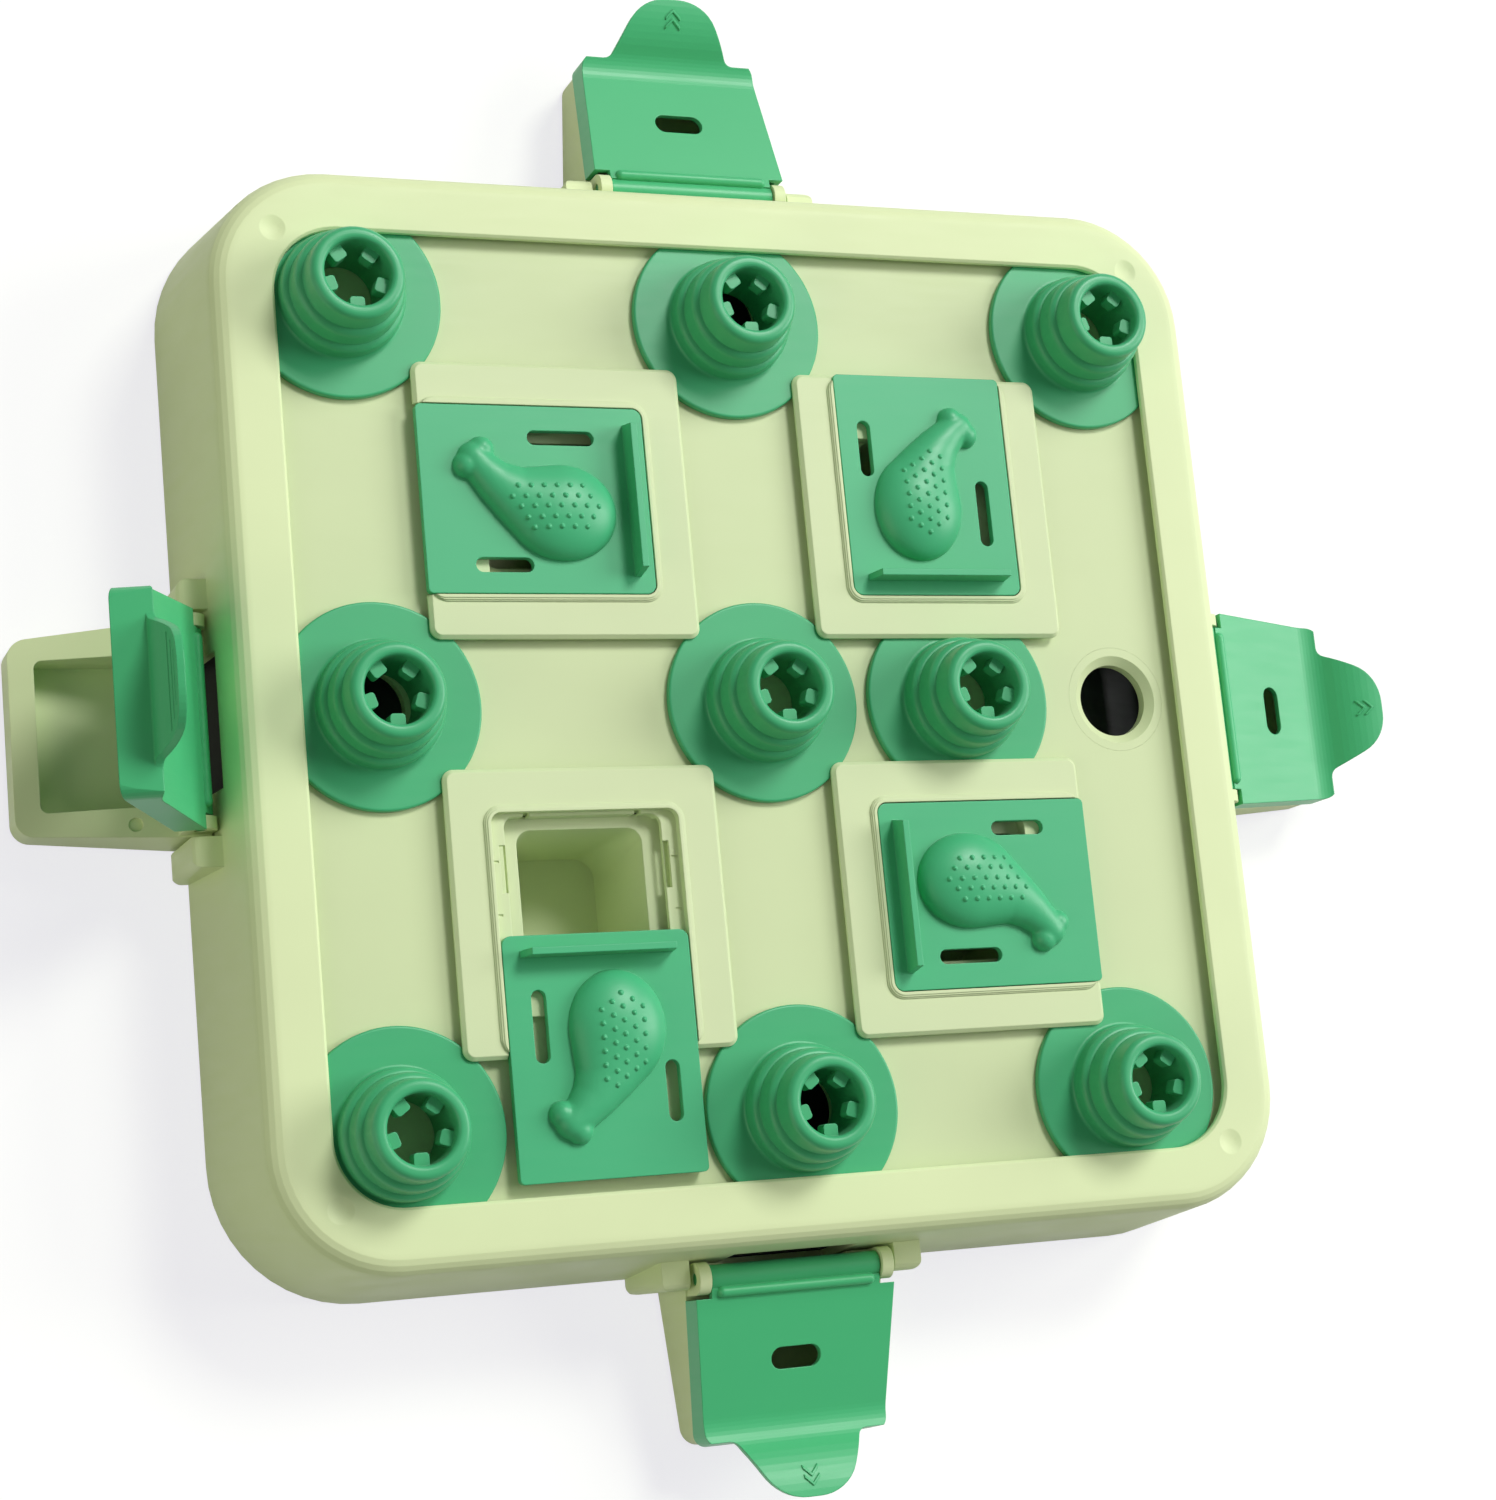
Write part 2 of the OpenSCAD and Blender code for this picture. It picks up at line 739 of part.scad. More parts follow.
// Plan outline of a tray drawn in by an amount, in u and distance
module tray_plan(inset, back, corner) {
    e = tray_out - inset;
    hull() {
        for (s = [-1, 1]) {
            translate([s * (tray_half(back) - inset - 0.01), back]) circle(0.01);
            translate([s * (tray_half(e) - inset - corner), e - corner]) circle(corner);
        }
    }
}

// Solid under the line of the tray's rim, lowered by drop
module under_rim(drop, z0, d0, half) {
    d1 = tray_out + 5;
    translate([-half, 0, 0]) rotate([90, 0, 90]) linear_extrude(2 * half) polygon([
        [d0, z0],
        [d1, z0],
        [d1, rim_h(d1) - drop],
        [d0, rim_h(d0) - drop]
    ]);
}

module tray(i) {
    skin = 1.8;
    dimple_d = hinge_out + 14.5;
    back_gap = 0.3;
    color(rim_green) side(i) difference() {
        union() {
            intersection() {
                translate([0, 0, tray_lift]) linear_extrude(40) tray_plan(0, tray_back, tray_corner);
                under_rim(0, 0, tray_back - 10, 50);
            }
            // Knuckles that hold the lid's pins
            for (s = [-1, 1]) {
                translate([s * (knuckle_in + knuckle_out) / 2, 0, 0]) {
                    translate([-(knuckle_out - knuckle_in) / 2, hinge_out, hinge_h]) rotate([0, 90, 0]) {
                        cylinder(r = knuckle_r, h = knuckle_out - knuckle_in);
                    }
                    translate([-(knuckle_out - knuckle_in) / 2, hinge_out - knuckle_r, rim_at_hinge - 6]) {
                        cube([knuckle_out - knuckle_in, 2 * knuckle_r, hinge_h - rim_at_hinge + 6]);
                    }
                }
            }
        }
        // Pocket
        intersection() {
            translate([0, 0, tray_floor + tray_lift]) linear_extrude(40) {
                tray_plan(tray_rim, tray_back - 8, 2.2);
            }
            translate([-window_half - 2, tray_back + 3, 0]) cube([2 * window_half + 4, 60, 60]);
        }
        translate([-window_half, tray_back - 8, window_z]) cube([2 * window_half, 20, 40]);
        // Cored underside between the outer skin and the pocket
        intersection() {
            difference() {
                linear_extrude(40, center = true) tray_plan(skin, tray_back + skin + 6, tray_corner - skin);
                linear_extrude(60, center = true) tray_plan(tray_rim - skin, tray_back - 8, 2.2 + skin);
            }
            under_rim(skin, -5, tray_back - 10, 50);
        }
        // Board's leaning wall behind the tray
        rotate([90, 0, 90]) translate([0, 0, -50]) linear_extrude(100) polygon([
            [board_half - 20, -1],
            [out_half(-1) + back_gap, -1],
            [out_half(40) + back_gap, 40],
            [board_half - 20, 40]
        ]);
        // Pin bores and catch dimples
        translate([-40, hinge_out, hinge_h]) rotate([0, 90, 0]) cylinder(r = pin_r + pin_gap, h = 80);
        for (s = [-1, 1]) {
            translate([s * (tray_half(dimple_d) - tray_rim / 2 - 0.3), dimple_d, rim_h(dimple_d) - 0.8]) {
                cylinder(r = 1.8, h = 3);
            }
        }
    }
}

// ---------------------------------------------------------------- lids

// Side profile of a lid, measured from the hinge: distance out and height. The panel
// slopes down, turns up through a soft valley and rounds over as the tongue.
panel_h = rim_at_hinge + lid_depth - hinge_h - lid_t / 2;
panel_end = tray_out - hinge_out - 7.2;
valley_r = 9.9;
tongue_up = 41;
tip_r = 24.4;
tip_up = 6;
tip_run = 4;

// A path of straight runs and arcs: each step is [length, 0] or [radius, turn]
function step_end(p, a, s) = s[1] == 0
    ? [p + s[0] * [cos(a), sin(a)], a]
    : [p + s[0] * sign(s[1]) * ([-sin(a), cos(a)] - [-sin(a + s[1]), cos(a + s[1])]), a + s[1]];
function step_points(p, a, s) = s[1] == 0
    ? [step_end(p, a, s)]
    : [for (k = [1 : 8]) step_end(p, a, [s[0], s[1] * k / 8])];
function walk(p, a, steps, i = 0) = i == len(steps)
    ? []
    : let (pts = step_points(p, a, steps[i]), e = pts[len(pts) - 1])
        concat(pts, walk(e[0], e[1], steps, i + 1));
function beside(q, off) = q[0] + off * [-sin(q[1]), cos(q[1])];

sheet_back = 2.6;
lid_start = [sheet_back, panel_h - sheet_back * tan(lid_slope)];
lid_path = concat([[lid_start, -lid_slope]], walk(lid_start, -lid_slope, [
    [(panel_end - sheet_back) / cos(lid_slope), 0],
    [valley_r, lid_slope + tongue_up],
    [tip_r, tip_up - tongue_up],
    [tip_run, 0]
]));

// Half width and half height of the blocks that cut a lid to shape
lid_reach = 40;

// Outline in distance and height, carried across the lid
module lid_profile(half, points) {
    translate([-half, 0, 0]) rotate([90, 0, 90]) linear_extrude(2 * half) polygon(points);
}

// Layer of the lid's sheet between two distances from its middle surface
module lid_sheet(half, low = -lid_t / 2, high = lid_t / 2) {
    lid_profile(half, concat(
        [for (q = lid_path) beside(q, high)],
        [for (k = [len(lid_path) - 1 : -1 : 0]) beside(lid_path[k], low)]
    ));
}

lid_back = 5.4;
lid_end = tray_out - hinge_out + 0.4;
end_lean = 6;
shoulder_r = 4;
side_lean = atan((tray_w - tray_end_w) / 2 / (tray_out - hinge_out));

function lid_half(d) = tray_half(hinge_out + d) + 0.2;

// Plan outline of the lid's box part drawn in by an amount
module lid_plan(inset, back) {
    e = lid_end - inset;
    r = shoulder_r - inset / 2;
    c = [lid_half(e - r) - (inset + r) / cos(side_lean), e - r];
    polygon(concat(
        [[inset - lid_half(back), back], [lid_half(back) - inset, back]],
        arc(c, r, side_lean, 90, 6),
        arc([-c[0], c[1]], r, 90, 180 - side_lean, 6)
    ));
}

// Block of the lid's box part, whose end wall leans in towards its top
module lid_block(inset = 0, back = lid_back) {
    foot_h = rim_h(tray_out) - hinge_h;
    lean_run = lid_reach * tan(end_lean);
    e = lid_end - inset;
    intersection() {
        linear_extrude(2 * lid_reach, center = true) lid_plan(inset, back);
        lid_profile(lid_reach, [
            [0, foot_h - lid_reach],
            [e + lean_run, foot_h - lid_reach],
            [e - lean_run, foot_h + lid_reach],
            [0, foot_h + lid_reach]
        ]);
    }
}

// Solid between the tray's rim and the middle of the lid's sheet
module lid_under() {
    d0 = lid_start[0];
    d1 = lid_path[len(lid_path) - 1][0][0];
    lid_profile(lid_reach, concat(
        [for (q = lid_path) q[0]],
        [for (d = [d1, d0]) [d, rim_h(hinge_out + d) - hinge_h + fit_gap]]
    ));
}

lid_tip = tongue_out - hinge_out;
tongue_r = 13;
tongue_c = 1.8;
tongue_side = 28;
root_fillet = 3;
root_d = lid_end - 1.1;

// Plan outline of the tongue, with hollow fillets where it leaves the shoulders
module tongue_plan() {
    c = [tongue_c, lid_tip - tongue_r];
    f_d = root_d + root_fillet;
    f_u = c[0] + (tongue_r + root_fillet - (f_d - c[1]) * sin(tongue_side)) / cos(tongue_side);
    polygon(concat(
        [[-f_u, root_d - shoulder_r], [f_u, root_d - shoulder_r]],
        arc([f_u, f_d], root_fillet, 270, 180 + tongue_side, 5),
        arc(c, tongue_r, tongue_side, 90, 8),
        arc([-c[0], c[1]], tongue_r, 90, 180 - tongue_side, 8),
        arc([-f_u, f_d], root_fillet, -tongue_side, -90, 5)
    ));
}

// Open chevron that points outwards
module chevron(half, line) {
    polygon([
        [0, half],
        [-half, 0],
        [-half, -1.4 * line],
        [0, half - 1.4 * line],
        [half, -1.4 * line],
        [half, 0]
    ]);
}

module lid(i, open) {
    barrel_r = 3.4;
    barrel_half = knuckle_in - 0.4;
    pin_half = knuckle_out - 0.3;
    bar_half = 21.3;
    bar_d = 3.9;
    bar_r = 1.5;
    slot_d = 22.6;
    slot_half = 7.2;
    slot_r = 2.9;
    chevron_half = 2.2;
    chevron_line = 0.6;
    chevron_rise = 0.35;
    chevrons_in = [7.4, 5];
    grip_halves = [12.2, 9.7, 6.8];
    grips_in = 8.4;
    grip_step = 1.9;
    grip_w = 0.5;
    grip_deep = 0.4;
    color(lid_green) side(i) translate([0, hinge_out, hinge_h]) rotate([open, 0, 0]) {
        difference() {
            union() {
                // Panel, valley and tongue in one sheet
                intersection() {
                    lid_sheet(lid_reach);
                    union() {
                        lid_block();
                        linear_extrude(2 * lid_reach, center = true) {
                            tongue_plan();
                            translate([-barrel_half, 0]) square([2 * barrel_half, lid_back + 1]);
                        }
                    }
                }
                // Side and end walls down to the tray's rim
                intersection() {
                    lid_under();
                    difference() {
                        lid_block();
                        lid_block(lid_t, lid_back - 1);
                    }
                }
                rotate([0, 90, 0]) cylinder(r = barrel_r, h = 2 * barrel_half, center = true);
                rotate([0, 90, 0]) cylinder(r = pin_r, h = 2 * pin_half, center = true);
                // Raised bar along the hinge
                translate([0, bar_d, panel_h + lid_t / 2 - bar_d * tan(lid_slope)]) {
                    rotate([0, 90, 0]) cylinder(r = bar_r, h = 2 * bar_half, center = true);
                    for (s = [-1, 1]) {
                        translate([s * bar_half, 0, 0]) sphere(bar_r, $fn = 32);
                    }
                }
                // Chevrons that show which way the tongue lifts
                intersection() {
                    lid_sheet(chevron_half + 1, lid_t / 2 - 0.2, lid_t / 2 + chevron_rise);
                    for (d = chevrons_in) {
                        translate([0, lid_tip - d, -lid_reach]) linear_extrude(2 * lid_reach) {
                            chevron(chevron_half, chevron_line);
                        }
                    }
                }
            }
            // Grip lines under the tongue
            intersection() {
                lid_sheet(grip_halves[0], -lid_t / 2 - 1, -lid_t / 2 + grip_deep);
                for (k = [0 : len(grip_halves) - 1]) {
                    translate([-grip_halves[k], lid_tip - grips_in + k * grip_step, -lid_reach]) {
                        cube([2 * grip_halves[k], grip_w, 2 * lid_reach]);
                    }
                }
            }
            // Slot in the panel
            translate([0, slot_d, -lid_reach]) linear_extrude(2 * lid_reach) {
                for (s = [-1, 1]) {
                    translate([s * (slot_half - slot_r), 0]) circle(slot_r);
                }
                square([2 * (slot_half - slot_r), 2 * slot_r], center = true);
            }
        }
    }
}

// ---------------------------------------------------------------- assembly

rim_shell();
deck_plate();
drop_collar(0);  // drop_collar_n
drop_collar(1);  // drop_collar_e
drop_collar(2);  // drop_collar_s
drop_collar(3);  // drop_collar_w
bottom_pan();
chute(0);  // chute_n
chute(1);  // chute_e
chute(2);  // chute_s
chute(3);  // chute_w
pocket_frame(0);  // pocket_frame_ne
pocket_frame(1);  // pocket_frame_se
pocket_frame(2);  // pocket_frame_sw
pocket_frame(3);  // pocket_frame_nw
slider(0, 0);  // slider_ne
slider(1, 0);  // slider_se
slider(2, sw_plate_open);  // slider_sw
slider(3, 0);  // slider_nw
knob_nw();
knob_n();
knob_ne();
knob_w();
knob_centre();
knob_e();
knob_sw();
knob_s();
knob_se();
tray(0);  // tray_n
tray(1);  // tray_e
tray(2);  // tray_s
tray(3);  // tray_w
lid(0, 0);  // lid_n
lid(1, 0);  // lid_e
lid(2, 0);  // lid_s
lid(3, west_lid_open);  // lid_w
foot_pad(-1, 1);  // foot_pad_nw
foot_pad(1, 1);  // foot_pad_ne
foot_pad(1, -1);  // foot_pad_se
foot_pad(-1, -1);  // foot_pad_sw
pan_screws();
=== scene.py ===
"""The dog puzzle feeder's looks: pale and green moulded plastic, studio light and the camera."""

import math

import bmesh
import bpy
from mathutils import Matrix, Vector
from mathutils.bvhtree import BVHTree


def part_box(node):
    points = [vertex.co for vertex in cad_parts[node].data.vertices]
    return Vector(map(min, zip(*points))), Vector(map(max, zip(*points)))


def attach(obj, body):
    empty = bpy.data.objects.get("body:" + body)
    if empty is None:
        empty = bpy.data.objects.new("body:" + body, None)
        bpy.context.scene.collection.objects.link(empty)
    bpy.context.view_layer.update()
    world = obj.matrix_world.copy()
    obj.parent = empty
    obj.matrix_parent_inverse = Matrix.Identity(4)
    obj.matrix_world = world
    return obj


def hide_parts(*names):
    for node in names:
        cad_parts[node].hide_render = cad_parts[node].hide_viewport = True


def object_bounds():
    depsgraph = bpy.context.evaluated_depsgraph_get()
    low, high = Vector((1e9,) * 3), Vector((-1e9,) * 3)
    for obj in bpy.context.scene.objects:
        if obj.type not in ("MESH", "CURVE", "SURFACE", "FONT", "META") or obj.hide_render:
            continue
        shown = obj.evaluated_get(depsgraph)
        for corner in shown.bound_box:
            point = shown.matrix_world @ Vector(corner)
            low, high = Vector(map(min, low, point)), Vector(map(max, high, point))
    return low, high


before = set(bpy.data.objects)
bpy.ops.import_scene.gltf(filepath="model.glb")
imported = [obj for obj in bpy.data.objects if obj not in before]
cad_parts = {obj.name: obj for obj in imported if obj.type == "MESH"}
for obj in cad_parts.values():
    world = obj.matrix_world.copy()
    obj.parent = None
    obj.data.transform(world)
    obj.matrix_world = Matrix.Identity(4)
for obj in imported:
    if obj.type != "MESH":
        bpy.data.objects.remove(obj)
cad_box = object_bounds()

SIDES = ("n", "e", "s", "w")
QUARTERS = ("ne", "se", "sw", "nw")

# Colours as the pieces look in plain light, in sRGB, except the deck's and the inner pieces',
# which also hold painted shade
RIM = (0.893, 0.942, 0.738)
# The deck's colour is the rim's plastic made a little darker. That darkening is painted shade for
# the lesser light on the deck.
DECK_PAINTED_SHADE = (0.838, 0.892, 0.694)
FRAME = (0.852, 0.903, 0.716)
KNOB = (0.265, 0.700, 0.472)
PLATE = (0.280, 0.725, 0.500)
LID = (0.283, 0.735, 0.485)
# The inner pan and chutes are near-black: painted shade for the dark inside of the box that the
# holes show
INNER_PAINTED_SHADE = (0.150, 0.160, 0.155)
PAD = (0.30, 0.32, 0.33)
STEEL = (0.72, 0.73, 0.74)


def linear(colour):
    """An sRGB colour as the linear one that Blender's sockets take."""
    return tuple(c / 12.92 if c <= 0.04045 else ((c + 0.055) / 1.055) ** 2.4 for c in colour)


# ------------------------------------------------------------ materials

# Noise scales are per metre, lengths are in metres
CLOUD_SCALE = 22.0
CLOUD_DETAIL = 3.0
CLOUD_DARK = 0.95
CLOUD_LIGHT = 1.045
SCUFF_SCALE = 60.0
SCUFF_DETAIL = 6.0
SCUFF_STRETCH = (1.0, 9.0, 1.0)
SCUFF_TURN = (0.0, 0.0, math.radians(35))
SCUFF_START = 0.35
SCUFF_FULL = 0.70
GRAIN_SCALE = 2600.0
GRAIN_DETAIL = 2.0
GRAIN_STRENGTH = 0.25
EDGE_SAMPLES = 6
SHEEN = 0.04
SHEEN_ROUGH = 0.5
DUST_SHEEN = 0.25


def noise(tree, vector, scale, detail):
    """Noise over the piece, as the socket of a number from 0 to 1."""
    node = tree.nodes.new("ShaderNodeTexNoise")
    node.inputs["Scale"].default_value = scale
    node.inputs["Detail"].default_value = detail
    tree.links.new(vector, node.inputs["Vector"])
    return node.outputs["Fac"]


def cloudy_pigment(tree, place, base):
    """A colour that drifts a little over the piece."""
    cloud = noise(tree, place, CLOUD_SCALE, CLOUD_DETAIL)
    tint = tree.nodes.new("ShaderNodeMix")
    tint.data_type = "RGBA"
    tint.inputs["A"].default_value = (*(c * CLOUD_DARK for c in base), 1.0)
    tint.inputs["B"].default_value = (*(min(1.0, c * CLOUD_LIGHT) for c in base), 1.0)
    tree.links.new(cloud, tint.inputs["Factor"])
    return tint.outputs["Result"]


def scuffed_gloss(tree, place, rough, scuffs):
    """A roughness with long thin scuffs, which are a little rougher than the skin."""
    stretch = tree.nodes.new("ShaderNodeMapping")
    stretch.inputs["Scale"].default_value = SCUFF_STRETCH
    stretch.inputs["Rotation"].default_value = SCUFF_TURN
    tree.links.new(place, stretch.inputs["Vector"])
    streak = noise(tree, stretch.outputs["Vector"], SCUFF_SCALE, SCUFF_DETAIL)
    gloss = tree.nodes.new("ShaderNodeMapRange")
    gloss.inputs["From Min"].default_value = SCUFF_START
    gloss.inputs["From Max"].default_value = SCUFF_FULL
    gloss.inputs["To Min"].default_value = rough
    gloss.inputs["To Max"].default_value = rough + scuffs
    tree.links.new(streak, gloss.inputs["Value"])
    return gloss.outputs["Result"]


def eroded_skin(tree, place, grain_depth, edge_radius):
    """The normal of a spark-eroded skin over edges that the mould has softened."""
    grain = noise(tree, place, GRAIN_SCALE, GRAIN_DETAIL)
    soft = tree.nodes.new("ShaderNodeBevel")
    soft.samples = EDGE_SAMPLES
    soft.inputs["Radius"].default_value = edge_radius
    skin = tree.nodes.new("ShaderNodeBump")
    skin.inputs["Strength"].default_value = GRAIN_STRENGTH
    skin.inputs["Distance"].default_value = grain_depth
    tree.links.new(grain, skin.inputs["Height"])
    tree.links.new(soft.outputs["Normal"], skin.inputs["Normal"])
    return skin.outputs["Normal"]


def plastic(name, colour, rough, grain_depth, scuffs, shine=0.45, edge_radius=0.0004):
    """Moulded plastic: a fine eroded skin, cloudy pigment, faint scuffs and softened edges."""
    mat = bpy.data.materials.new(name)
    mat.use_nodes = True
    tree = mat.node_tree
    surface = tree.nodes["Principled BSDF"].inputs
    place = tree.nodes.new("ShaderNodeTexCoord").outputs["Object"]
    tree.links.new(cloudy_pigment(tree, place, linear(colour)), surface["Base Color"])
    tree.links.new(scuffed_gloss(tree, place, rough, scuffs), surface["Roughness"])
    tree.links.new(eroded_skin(tree, place, grain_depth, edge_radius), surface["Normal"])
    surface["Specular IOR Level"].default_value = shine
    surface["Sheen Weight"].default_value = SHEEN
    surface["Sheen Roughness"].default_value = SHEEN_ROUGH
    return mat


def rubber(name, colour):
    """Foot pads: matte rubber with a fine pebbled skin and a trace of dust."""
    mat = plastic(name, colour, rough=0.78, grain_depth=0.00012, scuffs=0.12)
    mat.node_tree.nodes["Principled BSDF"].inputs["Sheen Weight"].default_value = DUST_SHEEN
    return mat


def zinc(name, colour):
    """Zinc-plated screws: bright metal, a little uneven."""
    mat = plastic(name, colour, rough=0.32, grain_depth=0.00002, scuffs=0.15)
    mat.node_tree.nodes["Principled BSDF"].inputs["Metallic"].default_value = 1.0
    return mat


def each(stem, endings):
    """The names that a stem makes with each ending."""
    return [stem + ending for ending in endings]


def all_of(stem):
    """The names of the CAD nodes that begin with a stem."""
    return [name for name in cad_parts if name.startswith(stem)]


def dress(names, mat):
    """Gives CAD nodes a material."""
    for name in names:
        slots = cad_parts[name].data.materials
        slots.clear()
        slots.append(mat)


rim_plastic = plastic(
    "rim_plastic", RIM, rough=0.44, grain_depth=0.00004, scuffs=0.10, shine=0.25
)
# The deck's plastic carries the painted shade of its darker colour
deck_plastic_painted_shade = plastic(
    "deck_plastic_painted_shade",
    DECK_PAINTED_SHADE,
    rough=0.44,
    grain_depth=0.00004,
    scuffs=0.10,
    shine=0.35,
    edge_radius=0.00012,
)
# The inner plastic carries the painted shade of its near-black colour
inner_plastic_painted_shade = plastic("inner_plastic_painted_shade", INNER_PAINTED_SHADE, rough=0.48, grain_depth=0.00005, scuffs=0.10)
frame_plastic = plastic(
    "frame_plastic", FRAME, rough=0.42, grain_depth=0.00004, scuffs=0.10, shine=0.3
)
plate_plastic = plastic("plate_plastic", PLATE, rough=0.38, grain_depth=0.00003, scuffs=0.05)
knob_plastic = plastic("knob_plastic", KNOB, rough=0.36, grain_depth=0.00003, scuffs=0.05)
lid_plastic = plastic("lid_plastic", LID, rough=0.38, grain_depth=0.00003, scuffs=0.05)

dress(["rim_shell", *each("tray_", SIDES)], rim_plastic)
dress(["deck_plate", *each("drop_collar_", SIDES)], deck_plastic_painted_shade)
dress(["bottom_pan", *each("chute_", SIDES)], inner_plastic_painted_shade)
dress(each("pocket_frame_", QUARTERS), frame_plastic)
dress(each("slider_", QUARTERS), plate_plastic)
dress(all_of("knob_"), knob_plastic)
dress(each("lid_", SIDES), lid_plastic)
dress(all_of("foot_pad_"), rubber("pad_rubber", PAD))
dress(["pan_screws"], zinc("screw_zinc", STEEL))

# ------------------------------------------------------------ shading of narrow facets

# A weight above 50 lets a wide face turn the shading more than a narrow one
SAME_PLACE = 0.000002
SOFT_ANGLE = math.radians(14)
WIDE_FACE_WEIGHT = 80


def smooth_facets(name):
    """Shades a CAD node's narrow facets as one round face and keeps its flat faces flat."""
    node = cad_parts[name]
    if "custom_normal" in node.data.attributes:
        node.data.attributes.remove(node.data.attributes["custom_normal"])
    for f in node.data.polygons:
        f.use_smooth = True
    weld = node.modifiers.new("weld", "WELD")
    weld.merge_threshold = SAME_PLACE
    crease = node.modifiers.new("crease", "EDGE_SPLIT")
    crease.split_angle = SOFT_ANGLE
    crease.use_edge_sharp = False
    even = node.modifiers.new("even", "WEIGHTED_NORMAL")
    even.weight = WIDE_FACE_WEIGHT


smooth_facets("rim_shell")

# ------------------------------------------------------------ drumsticks

# The plate's own frame has its origin at the middle of the plate's closed edge, on its
# top: across its travel, along it, and up. Millimetres.
MM = 0.001
QUARTER_OUT = 55.0
PLATE_TOP = 47.6

# Each lump: its place across and along, its radii across and along, and its height
MEAT = ((-3.7, 25.0), (13.3, 15.3), 7.0)
SHANK = (
    ((0.2, 36.3), (8.4, 8.4), 5.7),
    ((4.0, 42.1), (6.2, 6.2), 5.0),
    ((8.0, 46.3), (4.9, 4.9), 4.5),
    ((10.9, 48.5), (4.5, 4.5), 4.2),
)
BONE_ENDS = (((8.9, 50.8), (3.6, 3.6), 3.8), ((13.3, 46.3), (3.6, 3.6), 3.8))
LUMP_SEGMENTS = 40
LUMP_RINGS = 24
BETWEEN = 6
SKIN_VOXEL = 0.42
SKIN_SMOOTHS = 12
SKIN_SMOOTHING = 0.5
SKIN_SUNK = 0.4

# Rows of pimples: place across, first place along, and how many
PIMPLE_ROWS = ((-9.0, 20.3, 5), (-6.3, 18.4, 6), (-3.4, 16.6, 7), (-0.7, 18.8, 7), (2.2, 20.7, 6))
PIMPLE_STEP = 3.55
PIMPLE_R = 0.66
PIMPLE_SUNK = 0.12
PIMPLE_SEGMENTS = 12
PIMPLE_RINGS = 8
ABOVE_SKIN = 30.0

# The plain relief: the faces that rise from the plate's top, past its finger rib
PLATE_WELD = 0.002
RELIEF_BOTTOM = -0.02
RELIEF_RISE = 0.01
RELIEF_START = 8.0
PLATE_CREASE = math.radians(35)


def part_way(x, y, t):
    """The number part of the way from x to y."""
    return x + (y - x) * t


def mixed(a, b, t):
    """A lump part of the way from lump a to lump b."""
    (place_a, radii_a, height_a), (place_b, radii_b, height_b) = a, b
    return (
        tuple(part_way(x, y, t) for x, y in zip(place_a, place_b)),
        tuple(part_way(x, y, t) for x, y in zip(radii_a, radii_b)),
        part_way(height_a, height_b, t),
    )


def drumstick_lumps():
    """The lumps from the meat, down the shank, to the two ends of the bone."""
    path = (MEAT, *SHANK)
    lumps = [mixed(a, b, k / BETWEEN) for a, b in zip(path, path[1:]) for k in range(BETWEEN)]
    return lumps + [SHANK[-1], *BONE_ENDS]


def add_lump(bm, place, radii, segments, rings):
    """A closed ellipsoid at place."""
    shape = Matrix.Translation(place) @ Matrix.Diagonal((*radii, 1.0))
    bmesh.ops.create_uvsphere(bm, u_segments=segments, v_segments=rings, radius=1.0, matrix=shape)


def fused(lumps):
    """Lumps as one closed and smooth skin."""
    bm = bmesh.new()
    for (u, v), (ru, rv), h in lumps:
        add_lump(bm, (u, v, 0.0), (ru, rv, h), LUMP_SEGMENTS, LUMP_RINGS)
    mesh = bpy.data.meshes.new("lumps")
    bm.to_mesh(mesh)
    bm.free()
    rough = bpy.data.objects.new("lumps", mesh)
    bpy.context.collection.objects.link(rough)
    fuse = rough.modifiers.new("fuse", "REMESH")
    fuse.mode = "VOXEL"
    fuse.voxel_size = SKIN_VOXEL
    relax = rough.modifiers.new("relax", "SMOOTH")
    relax.factor = SKIN_SMOOTHING
    relax.iterations = SKIN_SMOOTHS
    shape = rough.evaluated_get(bpy.context.evaluated_depsgraph_get())
    skin = bmesh.new()
    skin.from_mesh(shape.to_mesh())
    bpy.data.objects.remove(rough)
    bpy.data.meshes.remove(mesh)
    return skin


def fill_holes(bm):
    """Closes every open edge of a mesh."""
    bmesh.ops.holes_fill(bm, edges=[e for e in bm.edges if e.is_boundary], sides=0)


def drumstick_skin():
    """The drumstick as one smooth skin with its pimples, in the plate's frame."""
    skin = fused(drumstick_lumps())
    everything = skin.verts[:] + skin.edges[:] + skin.faces[:]
    bmesh.ops.bisect_plane(
        skin, geom=everything, plane_co=(0, 0, -SKIN_SUNK), plane_no=(0, 0, 1), clear_inner=True
    )
    fill_holes(skin)
    tree = BVHTree.FromBMesh(skin)
    for u, first, count in PIMPLE_ROWS:
        for k in range(count):
            spot = tree.ray_cast((u, first + k * PIMPLE_STEP, ABOVE_SKIN), (0, 0, -1))[0]
            place = spot - Vector((0, 0, PIMPLE_SUNK))
            add_lump(skin, place, (PIMPLE_R,) * 3, PIMPLE_SEGMENTS, PIMPLE_RINGS)
    return skin


def plate_frame(quarter, turns):
    """The matrix from a plate's own frame to the row's frame, where the plate rests."""
    turn = Matrix.Rotation(math.radians(-90 * turns), 4, "Z")
    low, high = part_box("slider_" + quarter)
    corners = (turn.inverted() @ low / MM, turn.inverted() @ high / MM)
    closed_edge = min(c.y for c in corners)
    return Matrix.Scale(MM, 4) @ turn @ Matrix.Translation((QUARTER_OUT, closed_edge, PLATE_TOP))


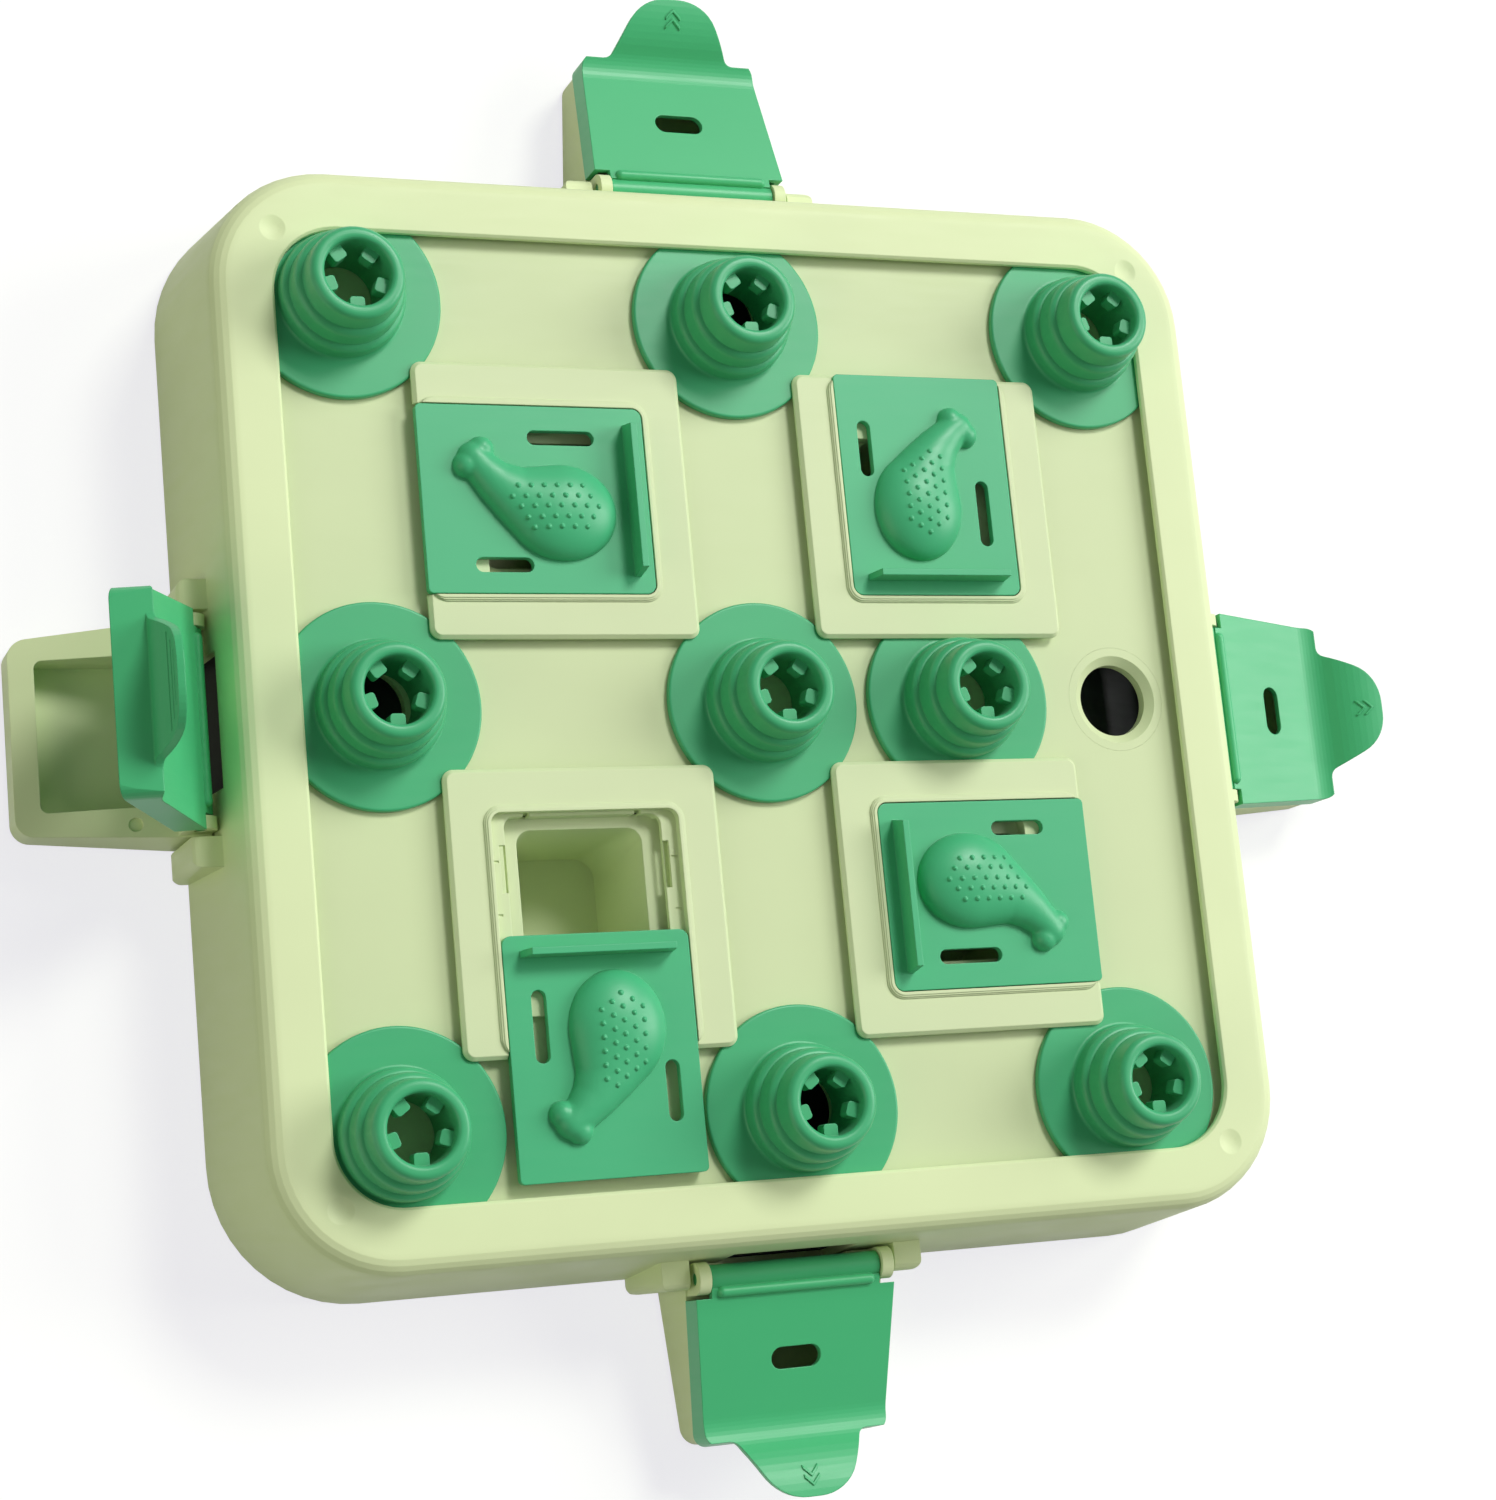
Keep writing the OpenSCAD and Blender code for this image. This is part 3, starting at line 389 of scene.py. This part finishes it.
def is_relief(face):
    """Whether a face of the plate is one of the plain drumstick's."""
    heights = [v.co.z for v in face.verts]
    stands_up = min(heights) > RELIEF_BOTTOM and max(heights) > RELIEF_RISE
    return stands_up and face.calc_center_median().y > RELIEF_START


def bare_plate(name, place):
    """A CAD plate in its own frame, closed where its plain drumstick is cut off."""
    bm = bmesh.new()
    bm.from_mesh(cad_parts[name].data)
    bm.transform(place.inverted())
    bmesh.ops.remove_doubles(bm, verts=bm.verts[:], dist=PLATE_WELD)
    bmesh.ops.delete(bm, geom=[f for f in bm.faces if is_relief(f)], context="FACES")
    fill_holes(bm)
    bmesh.ops.triangulate(bm, faces=[f for f in bm.faces if len(f.verts) > 4])
    return bm


def smooth_plate(quarter, turns, skin):
    """A sliding plate whose drumstick flows in one skin in place of the plain solid's."""
    name = "slider_" + quarter
    place = plate_frame(quarter, turns)
    bm = bare_plate(name, place)
    part = bpy.data.meshes.new(name + "_skin")
    skin.to_mesh(part)
    bm.from_mesh(part)
    bm.transform(place)
    for f in bm.faces:
        f.smooth = True
    bm.to_mesh(part)
    bm.free()
    for spare in ("custom_normal", "sharp_edge", "sharp_face"):
        if spare in part.attributes:
            part.attributes.remove(part.attributes[spare])
    part.set_sharp_from_angle(angle=PLATE_CREASE)
    part.materials.append(plate_plastic)
    plate = bpy.data.objects.new(name + "_smooth", part)
    bpy.context.collection.objects.link(plate)
    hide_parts(name)
    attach(plate, "plate_" + quarter)


drumstick = drumstick_skin()
for turns, quarter in enumerate(QUARTERS):
    smooth_plate(quarter, turns, drumstick)
drumstick.free()

# ------------------------------------------------------------ floor, light and camera

# The floor lies a little below the pads, takes the shadow as dull paper and shows itself
# to the camera and in reflections with a glow
FLOOR_SIZE = 12.0
FLOOR_DROP = 0.0004
FLOOR_PAPER = (0.36, 0.38, 0.29, 1.0)
FLOOR_GLOW = (0.99, 0.97, 1.06, 1.0)
FLOOR_GLOW_LEVEL = 0.72
SKY_LEVEL = 0.19
LIGHT_AIM = (0.0, 0.0, 0.02)


def studio_floor():
    """A white floor that still takes the board's shadow."""
    place = (0.0, 0.0, cad_box[0][2] - FLOOR_DROP)
    bpy.ops.mesh.primitive_plane_add(size=FLOOR_SIZE, location=place)
    floor = bpy.context.object
    floor.name = "floor"
    mat = bpy.data.materials.new("floor_white")
    mat.use_nodes = True
    nodes = mat.node_tree.nodes
    links = mat.node_tree.links
    nodes.remove(nodes["Principled BSDF"])
    paper = nodes.new("ShaderNodeBsdfDiffuse")
    paper.inputs["Color"].default_value = FLOOR_PAPER
    glow = nodes.new("ShaderNodeEmission")
    glow.inputs["Color"].default_value = FLOOR_GLOW
    seen = nodes.new("ShaderNodeLightPath")
    either = nodes.new("ShaderNodeMath")
    either.operation = "MAXIMUM"
    level = nodes.new("ShaderNodeMath")
    level.operation = "MULTIPLY"
    level.inputs[1].default_value = FLOOR_GLOW_LEVEL
    both = nodes.new("ShaderNodeAddShader")
    links.new(seen.outputs["Is Camera Ray"], either.inputs[0])
    links.new(seen.outputs["Is Glossy Ray"], either.inputs[1])
    links.new(either.outputs["Value"], level.inputs[0])
    links.new(level.outputs["Value"], glow.inputs["Strength"])
    links.new(paper.outputs["BSDF"], both.inputs[0])
    links.new(glow.outputs["Emission"], both.inputs[1])
    links.new(both.outputs["Shader"], nodes["Material Output"].inputs["Surface"])
    floor.data.materials.append(mat)


def world_light(strength):
    """Even light from all round, which the camera sees as white."""
    world = bpy.data.worlds.new("studio")
    bpy.context.scene.world = world
    world.use_nodes = True
    nodes = world.node_tree.nodes
    links = world.node_tree.links
    sky = nodes["Background"]
    sky.inputs["Color"].default_value = (1.0, 1.0, 1.0, 1.0)
    seen = nodes.new("ShaderNodeLightPath")
    level = nodes.new("ShaderNodeMapRange")
    level.inputs["To Min"].default_value = strength
    level.inputs["To Max"].default_value = 1.0
    links.new(seen.outputs["Is Camera Ray"], level.inputs["Value"])
    links.new(level.outputs["Result"], sky.inputs["Strength"])


def softbox(name, place, size, power, colour=(1.0, 1.0, 1.0)):
    """A square area lamp at place that faces the board."""
    data = bpy.data.lights.new(name, "AREA")
    data.size = size
    data.energy = power
    data.color = colour
    lamp = bpy.data.objects.new(name, data)
    lamp.location = place
    lamp.rotation_euler = (Vector(LIGHT_AIM) - Vector(place)).to_track_quat("-Z", "Y").to_euler()
    bpy.context.collection.objects.link(lamp)


studio_floor()
world_light(SKY_LEVEL)
softbox("key", (1.95, 2.66, 3.91), size=1.5, power=148.0)
softbox("side", (4.35, 0.64, 2.81), size=2.5, power=144.0)
softbox("fill", (-2.85, -0.80, 1.25), size=2.2, power=20.0, colour=(0.96, 1.0, 0.74))

# The camera: its place in millimetres, the directions of its right, down and forward
# axes, its focal length in pixels, and where the lens's axis meets the picture, in
# pixels of 1496 by 1500
PICTURE_W = 1496
PICTURE_H = 1500
CAMERA_MM = (-313.6, -155.6, 756.0)
CAMERA_RIGHT = (0.9258564, -0.0915561, 0.3666162)
CAMERA_DOWN = (-0.0210350, -0.9811866, -0.1919125)
CAMERA_AHEAD = (0.3772896, 0.1699717, -0.9103638)
FOCAL_PX = 2926.75
AXIS_PX = (707.07, 785.95)
SENSOR_MM = 36.0
CLIP_END = 30.0


def photo_camera():
    """A camera at the picture's own viewing angle."""
    data = bpy.data.cameras.new("camera")
    data.sensor_fit = "VERTICAL"
    data.sensor_height = SENSOR_MM
    data.sensor_width = SENSOR_MM
    data.lens = SENSOR_MM * FOCAL_PX / PICTURE_H
    data.shift_x = (PICTURE_W / 2 - AXIS_PX[0]) / PICTURE_H
    data.shift_y = (AXIS_PX[1] - PICTURE_H / 2) / PICTURE_H
    data.clip_end = CLIP_END
    camera = bpy.data.objects.new("camera", data)
    bpy.context.collection.objects.link(camera)
    right = Vector(CAMERA_RIGHT)
    up = -Vector(CAMERA_DOWN)
    back = -Vector(CAMERA_AHEAD)
    turn = Matrix((right, up, back)).transposed().to_4x4()
    camera.matrix_world = Matrix.Translation(Vector(CAMERA_MM) / 1000) @ turn
    bpy.context.scene.camera = camera


photo_camera()
bpy.context.scene.view_settings.view_transform = "Standard"
